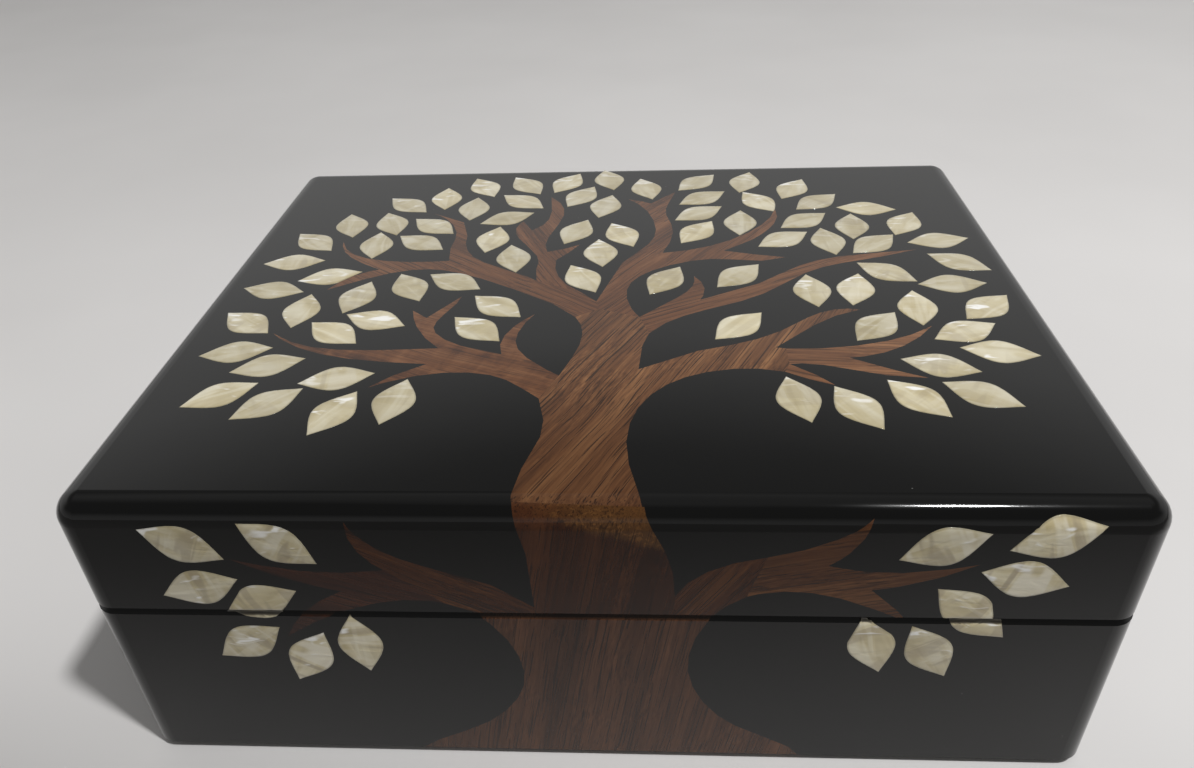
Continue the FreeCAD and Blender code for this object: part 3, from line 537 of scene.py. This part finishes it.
def outer_loops(mesh, outward):
    """Closed outlines of the outer faces, one for each leaf."""
    key = {v.index: tuple(round(c, SAME_SPOT_DIGITS) for c in v.co) for v in mesh.vertices}
    faces = [face for face in mesh.polygons if face.normal.dot(outward) > FACES_OUT]
    curved = {i for i, face in enumerate(faces) if face.normal.dot(outward) < FACES_STRAIGHT_OUT}
    group = list(range(len(faces)))

    def root(i):
        while group[i] != i:
            i = group[i]
        return i

    by_vertex, by_edge = {}, {}
    for i, face in enumerate(faces):
        for v in face.vertices:
            if v in by_vertex:
                group[root(i)] = root(by_vertex[v])
            by_vertex[v] = i
    for i, face in enumerate(faces):
        for a, b in face.edge_keys:
            edge = frozenset((key[a], key[b]))
            if edge in by_edge and (i in curved or by_edge[edge] in curved):
                group[root(i)] = root(by_edge[edge])
            by_edge[edge] = i
    loops = []
    for leader in sorted({root(i) for i in range(len(faces))}):
        directed = set()
        for i, face in enumerate(faces):
            if root(i) == leader:
                around = [key[v] for v in face.vertices]
                directed.update(zip(around, around[1:] + around[:1]))
        follow = {a: b for a, b in directed if (b, a) not in directed}
        start = min(follow)
        loop, spot = [start], follow[start]
        while spot != start:
            loop.append(spot)
            spot = follow[spot]
        loops.append([Vector(p) for p in loop])
    return loops


def bend(a, b, leave, arrive, t):
    """A point between a and b on the curve that leaves and arrives in the given directions."""
    long = (b - a).length
    return ((2 * t**3 - 3 * t**2 + 1) * a + (t**3 - 2 * t**2 + t) * long * leave
            + (3 * t**2 - 2 * t**3) * b + (t**3 - t**2) * long * arrive)


def smooth_outline(loop, outward):
    """A curve in the leaf's plane through the outline's corners, sharp only at the tips and trims."""
    flat = [p - outward * p.dot(outward) for p in loop]
    ways = [flat[i] - flat[i - 1] for i in range(len(flat))]
    turns = [ways[i].angle(ways[(i + 1) % len(flat)]) for i in range(len(flat))]
    corners = [p for p, turn in zip(flat, turns) if turn > STRAIGHT_TURN]
    count = len(corners)
    edges = [corners[(i + 1) % count] - corners[i] for i in range(count)]
    sharp = [edges[i - 1].angle(edges[i]) > SHARP_TURN for i in range(count)]
    around = [(edges[i - 1].normalized() + edges[i].normalized()).normalized() for i in range(count)]
    points = []
    for i in range(count):
        j = (i + 1) % count
        a, b, chord = corners[i], corners[j], edges[i].normalized()
        cut = min(abs(p.z - seam) for p in (a, b) for seam in (SEAM_BASE, SEAM_LID)) < AT_SEAM
        leave = chord if cut or sharp[i] else around[i]
        arrive = chord if cut or sharp[j] else around[j]
        points += [bend(a, b, leave, arrive, k / STEPS) for k in range(STEPS)]
    return points


def split_at(points, height):
    """The outline with a point wherever it crosses a height."""
    whole = []
    for a, b in zip(points, points[1:] + points[:1]):
        whole.append(a)
        if (a.z - height) * (b.z - height) < 0:
            whole.append(a.lerp(b, (height - a.z) / (b.z - a.z)))
    return whole


def rim_rise(point):
    """How far up the base's eased rim a point lies."""
    rise = point.z - (SEAM_BASE - BASE_RIM_EASING)
    return rise if 0 < rise <= BASE_RIM_EASING else 0.0


def on_form(point, outward):
    """The spot on the box over a point of the leaf's plane, and the way out of the surface there."""
    spot = point.copy()
    if outward == UP:
        spot.z = HIGH.z
        return spot, outward
    axis_y, axis_z = LOW.y + ROUNDOVER, HIGH.z - ROUNDOVER
    if spot.z > axis_z:
        rise = min(spot.z - axis_z, ROUNDOVER_END * ROUNDOVER)
        away = Vector((0, -math.sqrt(ROUNDOVER**2 - rise**2), rise)).normalized()
        return Vector((spot.x, axis_y, axis_z)) + ROUNDOVER * away, away
    below_lid = SEAM_LID + LID_RIM_EASING - spot.z if spot.z >= SEAM_LID else 0.0
    spot.y = LOW.y + max(rim_rise(spot), below_lid)
    return spot, (FORWARD + UP).normalized() if rim_rise(spot) else outward


def shell_leaves(node, outward, lit_side, tones, folds):
    """Leaves that stand for a CAD node's: same places, smooth outlines, softly eased edges. tones and folds
    are the ranges from which each leaf draws its brightness and the strength of its folds."""
    mesh = bmesh.new()
    chart = mesh.loops.layers.uv.new(LEAF_CHART)
    rim, tone, folded, side = (mesh.verts.layers.float.new(value) for value in LEAF_VALUES)
    dice = random.Random(LEAF_SEED)
    for index, loop in enumerate(outer_loops(NODES[node].data, outward)):
        outline = split_at(smooth_outline(loop, outward), SEAM_BASE - BASE_RIM_EASING)
        centre = sum(outline, Vector()) / len(outline)
        pairs = ((a, b) for a in outline for b in outline)
        tip, tail = max(pairs, key=lambda pair: (pair[0] - pair[1]).length)
        along = (tip - tail).normalized()
        across = outward.cross(along).normalized()
        shade, creased = (low + (high - low) * dice.random() for low, high in (tones, folds))

        def vertex(point, inset, lift):
            spot, away = on_form(point, outward)
            made = mesh.verts.new(spot + away * lift)
            # On the base's eased rim the edge value is 0 and the side value -1, which give the part there
            # painted shade. Elsewhere the side value says how far a point lies towards the lit side, where
            # the painted glints gather.
            on_rim = rim_rise(point) > 0
            made[rim] = 0.0 if on_rim else inset
            made[tone], made[folded] = shade, creased
            made[side] = -1.0 if on_rim else (point - centre).dot(lit_side) / LEAF_HALF
            return made

        rings = []
        for inset, height in RINGS:
            shares = [min(NEAREST_MIDDLE, inset * MM / (p - centre).length) for p in outline]
            inner = [p.lerp(centre, share) for p, share in zip(outline, shares)]
            rings.append([vertex(p, inset, height * MM) for p in inner])
        middle = vertex(centre, MIDDLE[0], MIDDLE[1] * MM)
        below = [vertex(p.lerp(centre, SUNK_TAPER), 0.0, -SUNK) for p in outline]
        made = add_bands(mesh, [below] + rings)
        last = rings[-1]
        made += [mesh.faces.new((a, b, middle)) for a, b in zip(last, last[1:] + last[:1])]
        made.append(mesh.faces.new(list(reversed(below))))
        for face in made:
            face.smooth = True
            for corner in face.loops:
                away = corner.vert.co - centre
                corner[chart].uv = (away.dot(along) / MM + CHART_STEP * index, away.dot(across) / MM)
    stand_in(f"{node}_pearl", mesh, node, "shell")


# Ways towards the lit side of the leaves on top and on the front: the painted glints gather there and
# painted shade lies opposite.
LIT_ON_TOP, LIT_ON_FRONT = Vector((-0.45, 0.89, 0)), Vector((-0.45, 0, 0.89))
shell_leaves("lid_leaves_top", UP, LIT_ON_TOP, tones=(0.0, 1.0), folds=(0.05, 0.45))
for front_leaves in ("lid_leaves_front", "base_leaves"):
    shell_leaves(front_leaves, FORWARD, LIT_ON_FRONT, tones=(0.6, 1.5), folds=(0.55, 1.0))


# Velvet linings and pads

INWARD = {"front": (0, 1, 0), "back": (0, -1, 0), "left": (1, 0, 0), "right": (-1, 0, 0)}
LINING_CROWN, PAD_CROWN = 0.25 * MM, 0.7 * MM
PAD_SPREAD = 0.25 * MM
PANEL_COLUMNS, PANEL_ROWS = 40, 24

# How far the edges are rounded, as shares of the thickness
TUCKED, ROLLED, PAD_EDGE = 0.15, 0.55, 0.25
EDGE_MARKS = (0.0, 0.12, 0.3, 0.55, 0.8, 1.0, 1.5)

# Ripples of the crown: their share of it, and two waves in radians per metre along and up the panel
RIPPLE = 0.12
RIPPLE_WAVES = ((210, 90), (40, 260))


def marks(length, turn_low, turn_high, count):
    """Places along a side, close together where the cloth turns over its two edges."""
    low = [turn_low * mark for mark in EDGE_MARKS]
    high = [turn_high * mark for mark in EDGE_MARKS]
    inner = [low[-1] + (length - low[-1] - high[-1]) * k / count for k in range(1, count)]
    return low + inner + [length - edge for edge in reversed(high)]


def soft_panel(node, facing, crown, rolls, spread=0.0):
    """Velvet over card: a panel with a slight crown, flat at its back. rolls says how far its edges are
    rounded: both ends, then the lower and the upper side. spread is how far the cloth reaches past the card
    on each side."""
    low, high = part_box(node)
    axis = max(range(3), key=lambda i: abs(facing[i]))
    first, second = [i for i in range(3) if i != axis]
    for i in (first, second):
        low[i] -= spread
        high[i] += spread
    sign = facing[axis]
    back = low[axis] if sign > 0 else high[axis]
    deep = high[axis] - low[axis]
    ends, lower, upper = (share * deep for share in rolls)
    wide, tall = high[first] - low[first], high[second] - low[second]
    columns, rows = marks(wide, ends, ends, PANEL_COLUMNS), marks(tall, lower, upper, PANEL_ROWS)
    mesh = bmesh.new()

    def height(a, b):
        near = min(a / ends, (wide - a) / ends, b / lower, (tall - b) / upper, 1.0)
        rise = math.sqrt(max(0.0, 1 - (1 - near) ** 2))
        swell = (1 - (2 * a / wide - 1) ** 4) * (1 - (2 * b / tall - 1) ** 4)
        ripple = RIPPLE * math.prod(math.sin(a * along + b * up) for along, up in RIPPLE_WAVES)
        return rise * (deep - crown) + crown * swell * (1 + ripple)

    def vertex(a, b):
        spot = [0.0, 0.0, 0.0]
        spot[axis] = back + sign * height(a, b)
        spot[first] = low[first] + a
        spot[second] = low[second] + b
        return mesh.verts.new(spot)

    top = [[vertex(a, b) for b in rows] for a in columns]
    for left, right in zip(top, top[1:]):
        for j in range(len(rows) - 1):
            mesh.faces.new((left[j], right[j], right[j + 1], left[j + 1]))
    lower_edge, upper_edge = ([column[j] for column in top] for j in (0, -1))
    mesh.faces.new(lower_edge + top[-1][1:] + upper_edge[-2::-1] + top[0][-2:0:-1])
    bmesh.ops.recalc_face_normals(mesh, faces=mesh.faces)
    for face in mesh.faces:
        face.smooth = len(face.verts) == 4
    piece = stand_in(f"{node}_velvet", mesh, node, "velvet")


for half, rolls in (("base", (TUCKED, TUCKED, ROLLED)), ("lid", (TUCKED, ROLLED, TUCKED))):
    for side, facing in INWARD.items():
        soft_panel(f"{half}_{side}_lining", facing, LINING_CROWN, rolls)
for half, facing in (("base", (0, 0, 1)), ("lid", (0, 0, -1))):
    soft_panel(f"{half}_pad", facing, PAD_CROWN, (PAD_EDGE,) * 3, PAD_SPREAD)


# Felt under the base

FELT_CORNER, FELT_EASING = 4.5 * MM, 0.25 * MM
CORNER_STEPS = 8


def felt_sheet(node):
    """Felt with its corners cut round and its edges a little worn."""
    low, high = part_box(node)
    mesh = bmesh.new()

    def outline(inset, z):
        reach = FELT_CORNER - inset
        left, right = low.x + FELT_CORNER, high.x - FELT_CORNER
        near, far = low.y + FELT_CORNER, high.y - FELT_CORNER
        ring = []
        for quarter, (x, y) in enumerate(((right, far), (left, far), (left, near), (right, near))):
            for k in range(CORNER_STEPS + 1):
                angle = math.radians(90) * (quarter + k / CORNER_STEPS)
                ring.append(mesh.verts.new((x + reach * math.cos(angle), y + reach * math.sin(angle), z)))
        return ring

    rings = [
        outline(FELT_EASING, low.z),
        outline(0, low.z + FELT_EASING),
        outline(0, high.z - FELT_EASING),
        outline(FELT_EASING, high.z),
    ]
    add_bands(mesh, rings)
    mesh.faces.new(list(reversed(rings[0])))
    mesh.faces.new(rings[-1])
    piece = stand_in("base_felt_sheet", mesh, node, "felt")


felt_sheet("base_felt")


# Floor, light and camera

# In metres, watts and degrees, except where the name says millimetres
FLOOR_HALF = 6.0

# Brightness of the room from the horizon (0) to straight up (1), behind the box and then before it
WALL_LEVELS = (
    (0.0, 0.55), (0.32, 0.60), (0.42, 0.68), (0.52, 0.62),
    (0.62, 0.24), (0.72, 0.16), (0.84, 0.36), (1.0, 0.30),
)
ROOM_LEVELS = ((0.0, 0.42), (0.20, 0.38), (0.42, 0.16), (0.90, 0.16), (1.0, 0.30))
ROOM_TINT = (1.0, 0.995, 0.985)
ROOM_TO_WALL = (-0.35, 0.15)

KEY_PLACE, KEY_TARGET = Vector((0.56, -0.447, 1.543)), Vector((0.1, 2.0, 0.0))
KEY_POWER, KEY_CONE, KEY_BLEND, KEY_RADIUS = 85.0, 96, 0.13, 0.06

SENSOR_MM, LENS_MM = 36.0, 28.15
CAMERA_PLACE = (13.693 * MM, -250.806 * MM, 224.217 * MM)
CAMERA_TURN = (55.6874, 2.1658, 2.8124)
CAMERA_CLIP = (0.01, 50.0)


def floor():
    """A pale, plain floor under the box."""
    dark, light = (0.70, 0.685, 0.675), (0.74, 0.725, 0.715)
    g = material("pale_floor")
    cloud = g.noise(g.object_mm(), scale=0.004)
    colour = g.ramp(cloud, [(0.35, dark), (0.65, light)])
    mesh = bmesh.new()
    bmesh.ops.create_grid(mesh, x_segments=1, y_segments=1, size=FLOOR_HALF)
    look = g.surface(Base_Color=colour, Roughness=0.75, Specular_IOR_Level=0.2)
    piece = add_mesh("floor", mesh, look)
    piece.location.z = LOW.z


def world():
    """A pale studio wall behind the box, a strip of bright ceiling over it and a dim room in front."""
    made = bpy.data.worlds.new("studio")
    bpy.context.scene.world = made
    g = Graph(made, "World")
    where = g.node("TexCoord").outputs["Generated"]
    height = g.axis(where, "Z")
    room, wall = (
        g.ramp(height, [(place, toned(ROOM_TINT, level)) for place, level in levels])
        for levels in (ROOM_LEVELS, WALL_LEVELS)
    )
    behind = g.span(g.axis(where, "Y"), ROOM_TO_WALL)
    g.show(g.node("Background", Color=g.mix(behind, room, wall)))


def key_light():
    """A spot high on the right that shines towards the back. Its lit area ends in front of the box."""
    data = bpy.data.lights.new("key", "SPOT")
    data.energy = KEY_POWER
    data.spot_size, data.spot_blend = math.radians(KEY_CONE), KEY_BLEND
    data.shadow_soft_size = KEY_RADIUS
    thing = add_object("key", data)
    thing.location = KEY_PLACE
    thing.rotation_euler = (KEY_TARGET - KEY_PLACE).to_track_quat("-Z", "Y").to_euler()


def camera():
    """The photograph's view, fitted to the box's edges."""
    data = bpy.data.cameras.new("view")
    data.sensor_fit, data.sensor_width, data.lens = "HORIZONTAL", SENSOR_MM, LENS_MM
    data.clip_start, data.clip_end = CAMERA_CLIP
    thing = add_object("view", data)
    thing.location = CAMERA_PLACE
    thing.rotation_euler = [math.radians(angle) for angle in CAMERA_TURN]
    bpy.context.scene.camera = thing


floor()
world()
key_light()
camera()

bpy.context.scene.view_settings.view_transform = "Standard"
bpy.context.view_layer.update()
